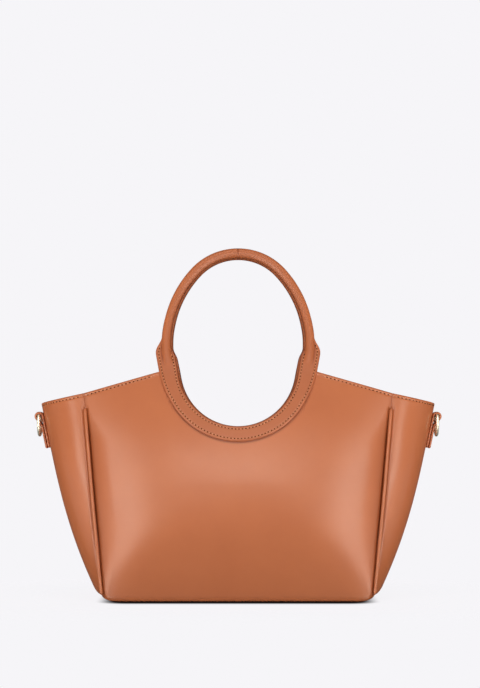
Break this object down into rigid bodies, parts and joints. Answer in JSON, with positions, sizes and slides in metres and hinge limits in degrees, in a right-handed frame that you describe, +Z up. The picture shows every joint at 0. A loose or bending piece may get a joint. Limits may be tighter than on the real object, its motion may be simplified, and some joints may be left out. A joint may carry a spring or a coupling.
{
  "type": "top handle bag",
  "caption": "Structured leather top handle bag with a round hand cut-out, rolled ring handles, piped seams, bulging side gussets and a strap ring on each side.",
  "frame": {"origin": "on the floor under the middle of the bag", "axes": "+Z up, +X to the right seen from the front, +Y to the back; the front panel faces -Y"},
  "size_m": [0.3724, 0.1344, 0.3201],
  "materials": {
    "shell_leather": "smooth semi-gloss tan",
    "trim_leather": "smooth semi-gloss tan",
    "facing_leather": "smooth satin tan",
    "lining_fabric": "plain weave",
    "cord": "twisted cord",
    "board": "matte stiffener",
    "gold_metal": "pale gold plate",
    "magnet": "sintered"
  },
  "bodies": {
    "shell": {"front_panel": "shell_leather", "back_panel": "shell_leather", "left_gusset": "shell_leather", "right_gusset": "shell_leather", "base_panel": "shell_leather", "front_left_piping": "trim_leather", "front_right_piping": "trim_leather", "back_left_piping": "trim_leather", "back_right_piping": "trim_leather", "front_handle_band": "trim_leather", "back_handle_band": "trim_leather", "left_ring_tab": "trim_leather", "right_ring_tab": "trim_leather", "front_facing": "facing_leather", "back_facing": "facing_leather", "left_gusset_facing": "facing_leather", "right_gusset_facing": "facing_leather", "front_lining": "lining_fabric", "back_lining": "lining_fabric", "left_gusset_lining": "lining_fabric", "right_gusset_lining": "lining_fabric", "base_lining": "lining_fabric", "piping_cords": "cord", "base_board": "board", "snap_socket": "gold_metal", "snap_stud": "gold_metal", "snap_magnet": "magnet"},
    "front_handle": {"front_handle_grip": "trim_leather", "front_handle_core": "cord"},
    "back_handle": {"back_handle_grip": "trim_leather", "back_handle_core": "cord"},
    "left_ring": {"left_d_ring": "gold_metal"},
    "right_ring": {"right_d_ring": "gold_metal"}
  },
  "joints": [
    {"name": "front_handle_tilt", "type": "hinge", "parent": "shell", "child": "front_handle", "pos_m": [0, -0.03312, 0.226], "axis": [1, 0, 0], "range_deg": [-3, 60]},
    {"name": "back_handle_tilt", "type": "hinge", "parent": "shell", "child": "back_handle", "pos_m": [0, 0.03312, 0.226], "axis": [-1, 0, 0], "range_deg": [-3, 60]},
    {"name": "left_d_ring_swing", "type": "hinge", "parent": "shell", "child": "left_ring", "pos_m": [-0.1824, 0, 0.16726], "axis": [0, 1, 0], "range_deg": [-5, 150]},
    {"name": "right_d_ring_swing", "type": "hinge", "parent": "shell", "child": "right_ring", "pos_m": [0.1824, 0, 0.16726], "axis": [0, -1, 0], "range_deg": [-5, 150]}
  ]
}
